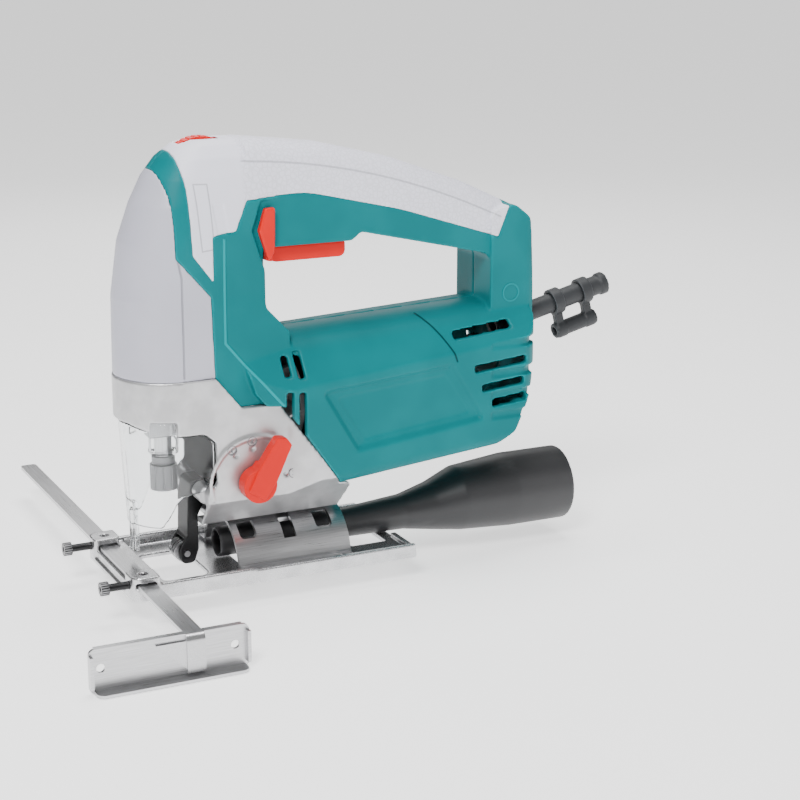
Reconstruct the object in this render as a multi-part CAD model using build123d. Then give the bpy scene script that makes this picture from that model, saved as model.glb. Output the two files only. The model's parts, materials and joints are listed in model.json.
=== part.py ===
"""Corded jigsaw: clamshell body, die-cast gear housing, tilting base, parallel guide and the drive inside.

Millimetres. +Z up, -X is the front (blade end), -Y is the left side of the tool.
The origin is on the sole plane, on the axis of the plunger that carries the blade.
"""
from build123d import *
import math
import os

os.makedirs("parts", exist_ok=True)

# ---- driving dimensions -------------------------------------------------------------------------
WALL = 2.4                 # moulded wall
SKIN = 1.6                 # grip overlay on top of the clamshell
GAP = 0.3                  # clearance between pieces that move past each other

HANDLE_APEX_X = 25.0       # the top line of the handle is an arc with its highest point here
HANDLE_TOP_Z = 220.8
HANDLE_ARC_R = 330.0
HANDLE_HALF = 17.5
REAR_COLUMN_HALF = 20.0

NOSE_CENTRE_X = 3.0        # the nose is round in plan about this point
GEARCASE_HALF = 27.0
GEARCASE_BOTTOM_Z = 27.0
SEAM_Z = 106.0             # nose cover above, die-cast gear housing below

MOTOR_HALF = 34.0
MOTOR_AXIS_Z = 84.0
MOTOR_FRONT_X = 30.0
MOTOR_REAR_X = 201.0

BASE_FRONT_X = -30.5
BASE_REAR_X = 124.5
BASE_HALF = 39.0
BASE_PLATE_T = 2.5
BASE_WALL_T = 3.0
BASE_WALL_H = 8.3
BEVEL_RANGE = 45           # degrees to each side
BASE_REAR_WALL_H = 7.4

SHROUD_R = 26.5
SHROUD_T = 1.8
SHROUD_X = (30.0, 92.0)

STROKE = 20.0
PLUNGER_R = 4.5
YOKE_Z = 108.0

GEAR_MODULE = 0.8
PINION_TEETH = 8
GEAR_TEETH = 52
GEAR_X = (32.0, 39.0)

SHAFT_R = 4.0
ARMATURE_R = 16.2
STATOR_R = 27.0
STATOR_X = (94.0, 130.0)

DIAL_X = 38.5              # pendulum selector
DIAL_Z = 50.0

GUIDE_X = (-27.6, -18.6)   # parallel-guide bar across the front of the base
GUIDE_Z = (6.7, 8.7)
GUIDE_Y = (-109.0, 184.0)
FLANGE_LOW_Z = -9.8        # lower end of the bar's bent-down end

SCREW_HEAD_Y = 12.0        # seat of the clamshell screws' heads
TRIGGER_WING_Y = 17.6
TRIGGER_PIVOT = (52.0, 184.0)
FORK_PIVOT = (16.0, 44.0)
ROLLER_CENTRE = (8.5, 10.0)
ROLLER_R = 5.5
ROLLER_PIN_R = 1.6
SELECTOR_R = 4.0
SELECTOR_REST = 60.0       # pointer angle above the horizontal
LOCK_AT = (88.0, 178.0)    # lock-on button
SPEED_DIAL = (23.5, 202.0)
SPEED_DIAL_R = 19.5

BUSH_LOW = (76.0, 90.0)    # plunger bearings, from z to z
BUSH_HIGH = (130.0, 142.0)
BUSH_OUT_R = 7.0
PLATE_X = (41.0, 46.6)     # inner gear plate
BEARING_OUT_R = 11.0
AXLE_R = 5.0
COMMUTATOR_X = (144.0, 157.0)
COMMUTATOR_R = 11.0
FAN_R = 23.4

BASE_BOLT_X = 60.0
SLEEVE_START = (200.0, 113.0)
SLEEVE_TILT = 14.3
OUTLET_R = 19.0
OUTLET_LENGTH = 32.0

GUIDE_SCREW_R = 2.0
GUIDE_AXIS_Z = 7.7
FENCE_X = (-73.5, 3.5)
FENCE_Z = (-12.4, 9.0)
FENCE_Y = -107.0           # near face of the fence plate
FENCE_LIP_Y = -114.7

# ---- helpers ------------------------------------------------------------------------------------


def rounded_face(points):
    """Closed face from (a, b, corner radius) points."""
    count = len(points)
    corners = []
    for i, (a, b, r) in enumerate(points):
        here = Vector(a, b)
        if r == 0:
            corners.append((here, None, here))
            continue
        back = (Vector(*points[i - 1][:2]) - here).normalized()
        ahead = (Vector(*points[(i + 1) % count][:2]) - here).normalized()
        half = math.acos(max(-1.0, min(1.0, back.dot(ahead)))) / 2
        inward = (back + ahead).normalized()
        cut = r / math.tan(half)
        middle = here + inward * (r / math.sin(half) - r)
        corners.append((here + back * cut, middle, here + ahead * cut))
    edges = []
    for i, (first, middle, last) in enumerate(corners):
        if middle:
            edges.append(ThreePointArc(first, middle, last))
        following = corners[(i + 1) % count][0]
        if (following - last).length > 1e-6:
            edges.append(Line(last, following))
    return make_face(edges)


def with_radius(points, r):
    return [(a, b, r) for a, b in points]


def side_plate(points, y_low, y_high):
    """Side-view outline of (x, z, radius), as thick as y_low to y_high."""
    plane = Plane(origin=(0, y_high, 0), x_dir=(1, 0, 0), z_dir=(0, -1, 0))
    return extrude(plane * rounded_face(points), amount=y_high - y_low)


def plan_plate(points, z_low, z_high):
    """Plan outline of (x, y, radius) from z_low up to z_high."""
    return extrude(Plane(origin=(0, 0, z_low)) * rounded_face(points), amount=z_high - z_low)


def cross_face(points, x):
    """Cross-section of (y, z, radius) at x."""
    return Plane(origin=(x, 0, 0), x_dir=(0, 1, 0), z_dir=(1, 0, 0)) * rounded_face(points)


def cross_bar(points, x_low, x_high):
    return extrude(cross_face(points, x_low), amount=x_high - x_low)


def block(x_low, x_high, y_low, y_high, z_low, z_high):
    centre = ((x_low + x_high) / 2, (y_low + y_high) / 2, (z_low + z_high) / 2)
    return Pos(*centre) * Box(x_high - x_low, y_high - y_low, z_high - z_low)


def rod_x(x_low, x_high, r, y=0.0, z=0.0):
    return Pos((x_low + x_high) / 2, y, z) * Rot(0, 90, 0) * Cylinder(r, x_high - x_low)


def rod_y(y_low, y_high, r, x=0.0, z=0.0):
    return Pos(x, (y_low + y_high) / 2, z) * Rot(90, 0, 0) * Cylinder(r, y_high - y_low)


def rod_z(z_low, z_high, r, x=0.0, y=0.0):
    return Pos(x, y, (z_low + z_high) / 2) * Cylinder(r, z_high - z_low)


def ring_x(x_low, x_high, r_out, r_in, y=0.0, z=0.0):
    return rod_x(x_low, x_high, r_out, y, z) - rod_x(x_low - 1, x_high + 1, r_in, y, z)


def ring_y(y_low, y_high, r_out, r_in, x=0.0, z=0.0):
    return rod_y(y_low, y_high, r_out, x, z) - rod_y(y_low - 1, y_high + 1, r_in, x, z)


def ring_z(z_low, z_high, r_out, r_in, x=0.0, y=0.0):
    return rod_z(z_low, z_high, r_out, x, y) - rod_z(z_low - 1, z_high + 1, r_in, x, y)


def mirrored(shape):
    return mirror(shape, about=Plane.XZ)


def both_sides(shape):
    return shape + mirrored(shape)


def gear_face(teeth, module, phase_deg=0.0):
    """Spur gear outline with straight-sided teeth, in the YZ plane."""
    pitch_r = teeth * module / 2
    tip_r = pitch_r + 0.9 * module
    root_r = pitch_r - 1.15 * module
    step = 360 / teeth
    points = []
    for i in range(teeth):
        middle = phase_deg + i * step
        for r, share in ((root_r, -0.36), (pitch_r, -0.225), (tip_r, -0.12),
                         (tip_r, 0.12), (pitch_r, 0.225), (root_r, 0.36)):
            angle = math.radians(middle + share * step)
            points.append((r * math.cos(angle), r * math.sin(angle)))
    return make_face(Polyline(*points, close=True))


def gear_x(x_low, x_high, teeth, module, z, phase_deg=0.0):
    plane = Plane(origin=(x_low, 0, z), x_dir=(0, 1, 0), z_dir=(1, 0, 0))
    return extrude(plane * gear_face(teeth, module, phase_deg), amount=x_high - x_low)


def coil_spring(radius, wire_r, height, turns):
    """Compression spring along +Z from the origin."""
    path = Helix(pitch=height / turns, height=height, radius=radius)
    profile = Plane(origin=path @ 0, z_dir=path % 0) * Circle(wire_r)
    return sweep(profile, path=path)


# ---- outer forms, shared by the housings, covers and grip ---------------------------------------


def handle_top(x):
    return HANDLE_TOP_Z - (x - HANDLE_APEX_X) ** 2 / (2 * HANDLE_ARC_R)


def nose_section(z, front_x, round_x, back_x, half, rear_half):
    """Plan section: round front, sides that taper back into the handle."""
    nose = ThreePointArc((round_x, -half), (front_x, 0), (round_x, half))
    rest = Polyline((round_x, half), (back_x, rear_half), (back_x, -rear_half), (round_x, -half))
    return Plane(origin=(0, 0, z)) * make_face([nose, rest])


def nose_form(inset):
    """Bullet-shaped nose that runs back into the front column."""
    rows = [
        (86.0, -24.0, 3.0, 62.0, 27.0, 24.0),
        (145.0, -23.0, 3.0, 62.0, 26.0, 18.0),
        (172.0, -19.0, 6.0, 62.0, 25.0, 17.5),
        (190.0, -12.5, 11.0, 62.0, 23.5, 17.5),
        (203.0, -6.0, 16.0, 62.0, 20.5, 17.0),
        (212.0, 1.0, 19.0, 61.0, 17.0, 14.5),
        (218.0, 9.0, 23.0, 57.0, 12.0, 10.0),
        (220.2, 16.0, 27.0, 43.0, 8.0, 5.5),
    ]
    faces = []
    for z, front_x, round_x, back_x, half, rear_half in rows:
        drop = inset if z > 180 else 0
        faces.append(nose_section(z - drop, front_x + inset, round_x, back_x,
                                  half - inset, rear_half - inset))
    return loft(faces, ruled=True)


def handle_form(inset):
    """Arched handle with a rounded top, plain side walls and an untrimmed underside."""
    faces = []
    for x in (42.0, 85.0, 125.0, 165.0, 199.0):
        half = HANDLE_HALF - inset
        top = handle_top(x) - inset
        faces.append(cross_face([(-half, 140, 0), (half, 140, 0), (half, top, 12 - inset),
                                 (-half, top, 12 - inset)], x))
    return loft(faces, ruled=True)


def rear_column_form(inset):
    """Stout rear end of the handle that runs down into the motor body."""
    half = REAR_COLUMN_HALF - inset
    outline = [(176.5 + inset, 110, 0), (176.5 + inset, 176, 6), (190, handle_top(190) - inset, 8),
               (200.5 - inset, 171, 7), (204.0 - inset, 128, 10), (203.0 - inset, 110, 0)]
    column = side_plate(outline, -half, half)
    trim = plan_plate(with_radius([(160, -half), (204.5 - inset, -half), (204.5 - inset, half),
                                   (160, half)], 7), 100, 190)
    return column & trim


def motor_section(x, inset):
    """Motor body: flat sides, a ridge, and sloping shoulders up to a rounded crown."""
    bottom = 44.0 + 0.097 * (x - 86) + inset
    ridge = 100.0 + 0.097 * (x - 86)
    crown = 123.8 + 0.045 * (x - 85) - inset
    half = MOTOR_HALF - inset
    return cross_face([(-half, bottom, 6), (half, bottom, 6), (half, ridge, 2.5), (16, crown, 26),
                       (-16, crown, 26), (-half, ridge, 2.5)], x)


def motor_form(inset):
    body = loft([motor_section(MOTOR_FRONT_X, inset), motor_section(MOTOR_REAR_X, inset)], ruled=True)
    side = side_plate([(26 + inset, 140, 0), (40 + inset, 95, 4), (90 + inset, 38, 0), (172, 38, 0),
                       (173 - inset, 52 + inset, 8), (185 - inset, 60 + inset, 6),
                       (194 - inset, 79, 10), (200 - inset, 104, 8), (200 - inset, 124, 12),
                       (192 - inset, 140, 0)], -50, 50)
    front = plan_plate([(22 + inset, -23 + inset, 0), (58 + inset, -34.5 + inset, 6),
                        (205, -34.5 + inset, 0), (205, 34.5 - inset, 0), (58 + inset, 34.5 - inset, 6),
                        (22 + inset, 23 - inset, 0)], 30, 150)
    rear = plan_plate([(20, -34.5, 0), (200.2 - inset, -34.5, 14), (200.2 - inset, 34.5, 14),
                       (20, 34.5, 0)], 30, 150)
    return body & side & front & rear


def body_form(inset):
    return nose_form(inset) + handle_form(inset) + rear_column_form(inset) + motor_form(inset)


def nose_region():
    """Side-view reach of the light front cover."""
    return side_plate([(-40, SEAM_Z, 0), (20.0, SEAM_Z - 1, 0), (19.5, 145.5, 0), (1.5, 166, 0),
                       (1.8, 181, 30), (1.0, 195, 30), (-2.0, 206, 6), (-6, 211.5, 0), (-40, 213, 0)], -60, 60)


def grip_region():
    """Reach of the grip overlay: handle top and sides, down to the teal lower half."""
    return side_plate([(21.5, 152, 0), (21.5, 175.0, 0), (34.2, 176.5, 0), (40.5, 191.0, 0),
                       (72, 193.0, 60), (125, 180.5, 120), (180.5, 162.5, 0), (187.5, 179.5, 0),
                       (200, 240, 0), (-2, 240, 0), (1, 224, 0), (6.5, 214.5, 8), (9.0, 200, 30),
                       (9.8, 181, 30), (10.5, 166.5, 0)], -60, 60)


def gearcase_region():
    """Side-view reach of the exposed die-cast housing."""
    return side_plate([(-40, SEAM_Z, 0), (20.0, SEAM_Z - 1, 0), (33, 89, 0), (53.5, 88.5, 0),
                       (84.5, 44, 0), (92, 43, 3), (89, 24, 4), (14.2, 24, 0), (14.2, 46.0, 3),
                       (19.3, 51.5, 4), (19.3, 72.4, 4), (13.3, 77.5, 5), (-7.8, 78.0, 6),
                       (-20.8, 83.6, 6), (-40, 83.6, 0)], -60, 60)


# ---- housings -----------------------------------------------------------------------------------


def opening_block(grow=0.0):
    """Finger opening of the handle, grown outwards by the given wall."""
    outline = [(49.5, 166.5, 3), (98, 166.5, 2), (103, 170.5, 3), (176.5, 153.5, 5),
               (176.5, 134.5, 5), (157, 128.4, 8), (110, 125.8, 0), (62, 123.6, 5), (49.5, 137, 5)]
    face = offset(rounded_face(outline), amount=grow) if grow else rounded_face(outline)
    return extrude(Plane(origin=(0, 60, 0), x_dir=(1, 0, 0), z_dir=(0, -1, 0)) * face, amount=120)


def trigger_slot():
    return block(49.2, 100.5, -13.3, 13.3, 158, 192)


def wing_pockets():
    """Recesses beside the trigger wings."""
    outline = [(43.0, 176, 2), (48.5, 191, 1), (62, 191, 1), (62, 157, 0), (49.0, 157, 1)]
    return both_sides(side_plate(outline, TRIGGER_WING_Y, 30))


def dial_slot():
    return rod_y(-4.2, 4.2, SPEED_DIAL_R + 0.6, *SPEED_DIAL)


def front_vents():
    """Two cooling slots each side where the motor body flares out."""
    slots = []
    for x, low, high in ((57.0, 102.0, 112.0), (64.0, 101.0, 114.0), (56.5, 70.0, 95.5), (63.0, 64.0, 95.0)):
        slots.append(block(x - 1.9, x + 1.9, 18, 40, low, high))
    return both_sides(Compound(slots))


def rear_vents():
    """Four slanted slots each side at the rear of the motor body."""
    slots = []
    for x, z, length in ((167.5, 115.3, 34.0), (175.5, 97.5, 31.0), (177.0, 86.5, 25.0), (181.0, 77.5, 21.0)):
        slot = Pos(x, 30, z) * Rot(0, -5.5, 0) * Box(length, 24, 4.2)
        slots.append(slot)
    return both_sides(Compound(slots))


def rear_ribs():
    """Horizontal flutes round the rear end of the motor body."""
    flutes = []
    for z in (70.0, 81.0, 92.5, 108.0):
        flute = block(170, 215, -50, 50, z - 2.2, z + 2.2)
        core = plan_plate([(120, -33.0, 0), (198.2, -33.0, 13), (198.2, 33.0, 13), (120, 33.0, 0)], 30, 150)
        flutes.append(flute - core)
    return Compound(flutes)


def panel_recess():
    """Framed panel on each side of the motor body: a bevelled recess with a flat inset in it."""
    outline = rounded_face([(72.5, 94.5, 3), (92.5, 60.0, 3), (167.5, 68.5, 3), (147.5, 101.0, 3)])
    inset = rounded_face([(82.0, 90.0, 2), (97.0, 65.0, 2), (159.5, 72.2, 2), (144.0, 95.2, 2)])
    steps = [(outline, 0.0, 0.5), (outline, -0.7, 1.0), (outline, -1.4, 1.6), (outline, -2.1, 2.2),
             (inset, 0.0, 2.7)]
    recess = []
    for face, grow, depth in steps:
        face = offset(face, amount=grow) if grow else face
        plane = Plane(origin=(0, 60, 0), x_dir=(1, 0, 0), z_dir=(0, -1, 0))
        recess.append(extrude(plane * face, amount=60 - MOTOR_HALF + depth))
    return both_sides(Compound(recess))


def screw_points():
    """Places of the clamshell screws, as (x, z)."""
    return [(47.0, 208.0), (112.0, 188.0), (186.0, 150.0), (188.0, 72.0), (104.0, 51.4), (66.0, 116.0)]


def screw_bores():
    """Counterbores for the screw heads, open to the right-hand side."""
    return Compound([rod_y(SCREW_HEAD_Y, 60, 3.8, x, z) for x, z in screw_points()])


def body_shell(outer, cavity):
    """Both clamshell halves as one, before the split."""
    shell = outer - (grip_region() - body_form(SKIN))
    shell = shell - nose_region() - gearcase_region() - cavity
    for cut in (trigger_slot(), wing_pockets(), dial_slot(), front_vents(), rear_vents(), rear_ribs(),
                panel_recess(), sleeve_bore()):
        shell = shell - cut
    return shell


def air_divider():
    """Rib down the middle of the rear air space, moulded in the left half."""
    return block(138, 172, -1.8, 0, 103, 124) & body_form(WALL)


def split_half(shell, side):
    """One clamshell half; side is -1 for the left and 1 for the right."""
    keep = block(-60, 260, min(0, side * 60), max(0, side * 60), 0, 240)
    half = shell & keep
    posts = Compound([rod_y(-40, 40, 5.0, x, z) for x, z in screw_points()])
    bores = Compound([rod_y(-9.2, 40, 1.7, x, z) for x, z in screw_points()])
    return half + (posts & body_form(SKIN + 0.5) & keep) - dial_slot() - bores


def grip_overlay(outer):
    overlay = (outer & grip_region()) - body_form(SKIN)
    overlay = overlay - trigger_slot() - wing_pockets() - dial_slot()
    label = side_plate([(21.5, 191, 0.5), (28.0, 191, 0.5), (33.0, 161, 0.5), (26.5, 161, 0.5)], 10, 40)
    return overlay - (both_sides(label) - body_form(0.6))


def nose_cover(outer):
    cover = (outer & nose_region()) - body_form(WALL)
    seam = both_sides(block(3.6, 4.6, 20, 40, 100, 162)) - nose_form(0.7)
    return cover - seam


def gearcase_form(inset):
    """Die-cast housing below the nose: round front, flat sides, flared rear, chamfered foot."""
    half = GEARCASE_HALF - inset
    front_x = NOSE_CENTRE_X - half
    edges = [
        ThreePointArc((NOSE_CENTRE_X, -half), (front_x, 0), (NOSE_CENTRE_X, half)),
        Polyline((NOSE_CENTRE_X, half), (57, half), (73, half + 6), (95, half + 6), (95, -half - 6),
                 (73, -half - 6), (57, -half), (NOSE_CENTRE_X, -half)),
    ]
    plan = extrude(Plane(origin=(0, 0, GEARCASE_BOTTOM_Z + inset)) * make_face(edges), amount=120)
    foot_half = 15.0 - 0.4 * inset
    foot = cross_bar([(-foot_half, GEARCASE_BOTTOM_Z, 0), (foot_half, GEARCASE_BOTTOM_Z, 0),
                      (27 - inset, 41, 0), (40 - inset, 56, 0), (40, 150, 0), (-40, 150, 0),
                      (-40 + inset, 56, 0), (-27 + inset, 41, 0)], -40, 100)
    return plan & foot


def guard_tab_room():
    return both_sides(block(-13.4, -0.6, -40, -17, 70, 85))


def gear_housing():
    """Outer die-cast housing with the lower plunger bearing."""
    hollow = gearcase_form(3.0) & block(-40, 100, -40, 40, 0, 200)
    case = (gearcase_form(0) - hollow) & gearcase_region()
    neck = block(-12, 12, -25, 25, BUSH_LOW[0], BUSH_LOW[1])
    neck = (neck & guard_form(2.6)) + (neck & gearcase_form(1.0) & block(-40, 40, -40, 40, 84.6, 100))
    case = case + neck - rod_z(60, 100, BUSH_OUT_R) - guard_tab_room()
    case = case - block(5, 21, -8.6, 8.6, 20, 58)
    inner_boss = both_sides(rod_y(-20.5, -9.2, 5.0, *FORK_PIVOT))
    outer_boss = both_sides(rod_y(-26, -20, 5.0, *FORK_PIVOT)) & gearcase_region()
    case = case + ((inner_boss + outer_boss) & gearcase_form(0)) - rod_y(-18, 18, 2.0, *FORK_PIVOT)
    case = case - rod_y(-40, -10, SELECTOR_R + 0.06, DIAL_X, DIAL_Z)
    disc = ring_y(-GEARCASE_HALF - 0.8, -GEARCASE_HALF + 0.5, 24.5, 22.6, DIAL_X + 0.5, DIAL_Z - 0.5)
    disc = disc & block(0, 62, -40, 0, 42.5, 90)
    case = case + disc
    case = case - rod_z(20, 40, 3.05, BASE_BOLT_X, 0)
    for angle in (5, 92, 123, 60):
        x = DIAL_X + 17.3 * math.cos(math.radians(angle))
        z = DIAL_Z + 17.3 * math.sin(math.radians(angle))
        case = case - rod_y(-GEARCASE_HALF - 1, -GEARCASE_HALF + 1.0, 1.5, x, z)
    return case


def gear_plate():
    """Inner cast plate: holds the front bearing, the gear axle and the upper plunger bearing."""
    x_low, x_high = PLATE_X
    plate = block(x_low, x_high, -23, 23, 66, 121) + block(x_low, x_high, -13, 13, 121, 142)
    plate = plate + rod_x(x_low, x_high + 3.0, 14, z=MOTOR_AXIS_Z)
    arm = block(-9, x_high, -9, 9, BUSH_HIGH[0], BUSH_HIGH[1])
    plate = plate + arm - rod_z(120, 150, BUSH_OUT_R)
    plate = plate - rod_x(x_low + 1.0, x_high + 5, BEARING_OUT_R, z=MOTOR_AXIS_Z)
    plate = plate - rod_x(x_low - 2, x_high + 5, SHAFT_R + 1.5, z=MOTOR_AXIS_Z)
    plate = plate - rod_x(x_low - 2, x_high + 2, AXLE_R, z=YOKE_Z)
    room = WALL + SKIN + GAP
    cast_part = plate & gearcase_form(3.0 + GAP) & gearcase_region()
    return (plate & nose_form(room)) + (plate & motor_form(room)) + cast_part


def plunger_bushings():
    lower = ring_z(*BUSH_LOW, BUSH_OUT_R, PLUNGER_R + 0.05)
    upper = ring_z(*BUSH_HIGH, BUSH_OUT_R, PLUNGER_R + 0.05)
    return Compound([lower, upper])


def guard_section(z, half, inset):
    half = half - inset
    edges = [
        ThreePointArc((NOSE_CENTRE_X, -half), (NOSE_CENTRE_X - half, 0), (NOSE_CENTRE_X, half)),
        Polyline((NOSE_CENTRE_X, half), (30, half), (30, -half), (NOSE_CENTRE_X, -half)),
    ]
    return Plane(origin=(0, 0, z)) * make_face(edges)


def guard_form(inset):
    return loft([guard_section(20, 21.5, inset), guard_section(90, 25.2, inset)], ruled=True)


def tilted_base_room():
    """Where the base's walls and front bosses pass under the guard at full bevel."""
    walls = block(-20, 36, BASE_HALF - BASE_WALL_T - 0.4, BASE_HALF + 0.4, 0, BASE_WALL_H + 0.4)
    bosses = block(BASE_FRONT_X, -15.8, 24.6, BASE_HALF + 0.4, 0, 12.8)
    room = both_sides(walls + bosses)
    return Rot(BEVEL_RANGE, 0, 0) * room + Rot(-BEVEL_RANGE, 0, 0) * room


def clear_guard():
    """Transparent dust and finger guard round the front of the blade clamp."""
    shell = guard_form(0) - guard_form(1.8)
    low_z = 29.0
    reach = side_plate([(-40, 83.0, 0), (-21, 83.0, 6), (-8, 77.5, 6), (13, 77.0, 5), (18.8, 72, 4),
                        (18.8, 52, 4), (13.5, 46.8, 3), (1, 44.8, 8), (-4.5, 34, 6), (-7.5, low_z, 3),
                        (-40, low_z, 0)], -40, 40)
    guard = shell & reach
    rib = block(-18.3, -14.6, -3, 3, 13.5, 40) - block(-16.9, -14, -1.7, 1.7, 12, 36)
    tab = block(-13.0, -1.0, -40, 40, 70, 86) & (guard_form(-0.9) - guard_form(1.8))
    front = guard + (rib - guard_form(1.8)) + rib
    return front + (tab & block(-40, 40, -40, 40, 70, 84.5)) - tilted_base_room()


def sleeve_axis_point(distance):
    """Point on the cord sleeve's axis, which leaves the rear wall sloping up."""
    slope = math.radians(SLEEVE_TILT)
    return (SLEEVE_START[0] + distance * math.cos(slope), 0, SLEEVE_START[1] + distance * math.sin(slope))


def sleeve_rod(low, high, r, drop=0.0):
    slope = math.radians(SLEEVE_TILT)
    x, _, z = sleeve_axis_point((low + high) / 2)
    place = Pos(x + drop * math.sin(slope), 0, z - drop * math.cos(slope)) * Rot(0, 90 - SLEEVE_TILT, 0)
    return place * Cylinder(r, high - low)


def sleeve_bore():
    return sleeve_rod(-20, 10, 5.7) + sleeve_rod(-14, -8.6, 8.2)


def cord_sleeve():
    """Rubber cord guard, hollow right through, with a flange inside and a rim outside."""
    sleeve = sleeve_rod(-12, 60, 5.4) + sleeve_rod(-12, -9, 7.6) + sleeve_rod(56, 60, 6.2)
    return sleeve - sleeve_rod(-14, 62, 3.6)


def key_holder():
    """Hex-key clip hung under the cord sleeve."""
    pieces = []
    for distance in (28.0, 46.0):
        ring = sleeve_rod(distance - 3, distance + 3, 7.2) - sleeve_rod(distance - 4, distance + 4, 5.4)
        post = sleeve_rod(distance - 2.4, distance + 2.4, 4.6, drop=16.5)
        x, _, z = sleeve_axis_point(distance)
        slope = math.radians(SLEEVE_TILT)
        web = Pos(x + 11 * math.sin(slope), 0, z - 11 * math.cos(slope)) * Rot(0, -SLEEVE_TILT, 0) * Box(4.8, 4.4, 9)
        pieces.append(ring + (web - sleeve_rod(10, 60, 5.4)) + post)
    holder = pieces[0] + pieces[1] + sleeve_rod(24, 50, 4.2, drop=16.5)
    return holder - sleeve_rod(20, 54, 2.3, drop=16.5)


# ---- drive --------------------------------------------------------------------------------------


def armature_shaft():
    shaft = rod_x(28.0, 168.0, SHAFT_R, z=MOTOR_AXIS_Z)
    return shaft - rod_x(27.0, 39.5, SHAFT_R + 1, z=MOTOR_AXIS_Z)


def pinion():
    """Pinion cut on a sleeve at the front end of the shaft."""
    return gear_x(28.0, 39.5, PINION_TEETH, GEAR_MODULE, MOTOR_AXIS_Z, phase_deg=90 + 180 / PINION_TEETH)


def armature_core():
    core = rod_x(*STATOR_X, ARMATURE_R, z=MOTOR_AXIS_Z) - rod_x(90, 134, SHAFT_R, z=MOTOR_AXIS_Z)
    for i in range(12):
        angle = math.radians(30 * i)
        y, z = 13.2 * math.cos(angle), MOTOR_AXIS_Z + 13.2 * math.sin(angle)
        mouth_y, mouth_z = 15.8 * math.cos(angle), MOTOR_AXIS_Z + 15.8 * math.sin(angle)
        core = core - rod_x(90, 134, 2.2, y, z) - rod_x(90, 134, 0.9, mouth_y, mouth_z)
    return core


def armature_windings():
    """End turns at both ends of the core."""
    turns = []
    for x_low, x_high in ((STATOR_X[0] - 8.5, STATOR_X[0]), (STATOR_X[1], STATOR_X[1] + 8.5)):
        turns.append(ring_x(x_low, x_high, 14.2, 5.5, z=MOTOR_AXIS_Z))
    return Compound(turns)


def commutator():
    x_low, x_high = COMMUTATOR_X
    drum = ring_x(x_low, x_high, COMMUTATOR_R, SHAFT_R, z=MOTOR_AXIS_Z)
    for i in range(24):
        bar_gap = Pos((x_low + x_high) / 2, 0, MOTOR_AXIS_Z) * Rot(15 * i, 0, 0) * Pos(0, 0, COMMUTATOR_R)
        drum = drum - bar_gap * Box(x_high - x_low + 2, 0.45, 1.6)
    return drum


def cooling_fan():
    hub = ring_x(56, 68, 8, SHAFT_R, z=MOTOR_AXIS_Z)
    disc = ring_x(66, 68, FAN_R, SHAFT_R, z=MOTOR_AXIS_Z)
    fan = hub + disc
    for i in range(11):
        blade = Pos(61.5, 0, MOTOR_AXIS_Z) * Rot(360 / 11 * i, 0, 0) * Pos(0, 0, 15.8) * Rot(0, 0, 22)
        fan = fan + blade * Box(10, 1.3, 17.6)
    return fan & rod_x(54, 70, FAN_R, z=MOTOR_AXIS_Z)


def ball_bearing(x_low, x_high, r_out):
    """Sealed bearing: outer and inner rings in one piece with shallow shield grooves."""
    body = ring_x(x_low, x_high, r_out, SHAFT_R + 0.05, z=MOTOR_AXIS_Z)
    groove = ring_x(x_low - 1, x_low + 0.5, r_out - 1.8, SHAFT_R + 1.8, z=MOTOR_AXIS_Z)
    back = ring_x(x_high - 0.5, x_high + 1, r_out - 1.8, SHAFT_R + 1.8, z=MOTOR_AXIS_Z)
    return body - groove - back


def stator_core():
    x_low, x_high = STATOR_X
    ring = ring_x(x_low, x_high, STATOR_R, STATOR_R - 5, z=MOTOR_AXIS_Z)
    poles = rod_x(x_low, x_high, STATOR_R - 2, z=MOTOR_AXIS_Z) & block(x_low, x_high, -11, 11, 40, 130)
    poles = poles - rod_x(x_low - 1, x_high + 1, ARMATURE_R + 0.6, z=MOTOR_AXIS_Z)
    return ring + poles


def field_coils():
    """Two field coils in the gaps beside the poles, with end turns."""
    coils = []
    for side in (-1, 1):
        y_low, y_high = sorted((side * 11.3, side * 21.0))
        half = block(STATOR_X[0] - 6, STATOR_X[1] + 6, y_low, y_high, MOTOR_AXIS_Z - 16, MOTOR_AXIS_Z + 16)
        half = half & rod_x(80, 140, STATOR_R - 5.3, z=MOTOR_AXIS_Z)
        coils.append(half - rod_x(80, 140, ARMATURE_R + 1.2, z=MOTOR_AXIS_Z))
    return Compound(coils)


def brush_holders():
    holders = []
    for side in (-1, 1):
        y_low, y_high = sorted((side * (COMMUTATOR_R + 1.5), side * 26.5))
        x_mid = sum(COMMUTATOR_X) / 2
        outer = block(x_mid - 5, x_mid + 5, y_low, y_high, MOTOR_AXIS_Z - 4.8, MOTOR_AXIS_Z + 4.8)
        inner = block(x_mid - 3.6, x_mid + 3.6, y_low - 2, y_high + 2, MOTOR_AXIS_Z - 3.4, MOTOR_AXIS_Z + 3.4)
        holders.append(outer - inner)
    return Compound(holders)


def carbon_brushes():
    brushes = []
    x_mid = sum(COMMUTATOR_X) / 2
    for side in (-1, 1):
        y_low, y_high = sorted((side * (COMMUTATOR_R - 1), side * 21.0))
        brush = block(x_mid - 3.4, x_mid + 3.4, y_low, y_high, MOTOR_AXIS_Z - 3.2, MOTOR_AXIS_Z + 3.2)
        brushes.append(brush - rod_x(130, 170, COMMUTATOR_R + 0.05, z=MOTOR_AXIS_Z))
    return Compound(brushes)


def brush_springs():
    springs = []
    x_mid = sum(COMMUTATOR_X) / 2
    for turn in (-90, 90):
        coil = coil_spring(1.9, 0.3, 4.6, 4)
        springs.append(Pos(x_mid, 0, MOTOR_AXIS_Z) * Rot(turn, 0, 0) * Pos(0, 0, 21.5) * coil)
    return Compound(springs)


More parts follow.
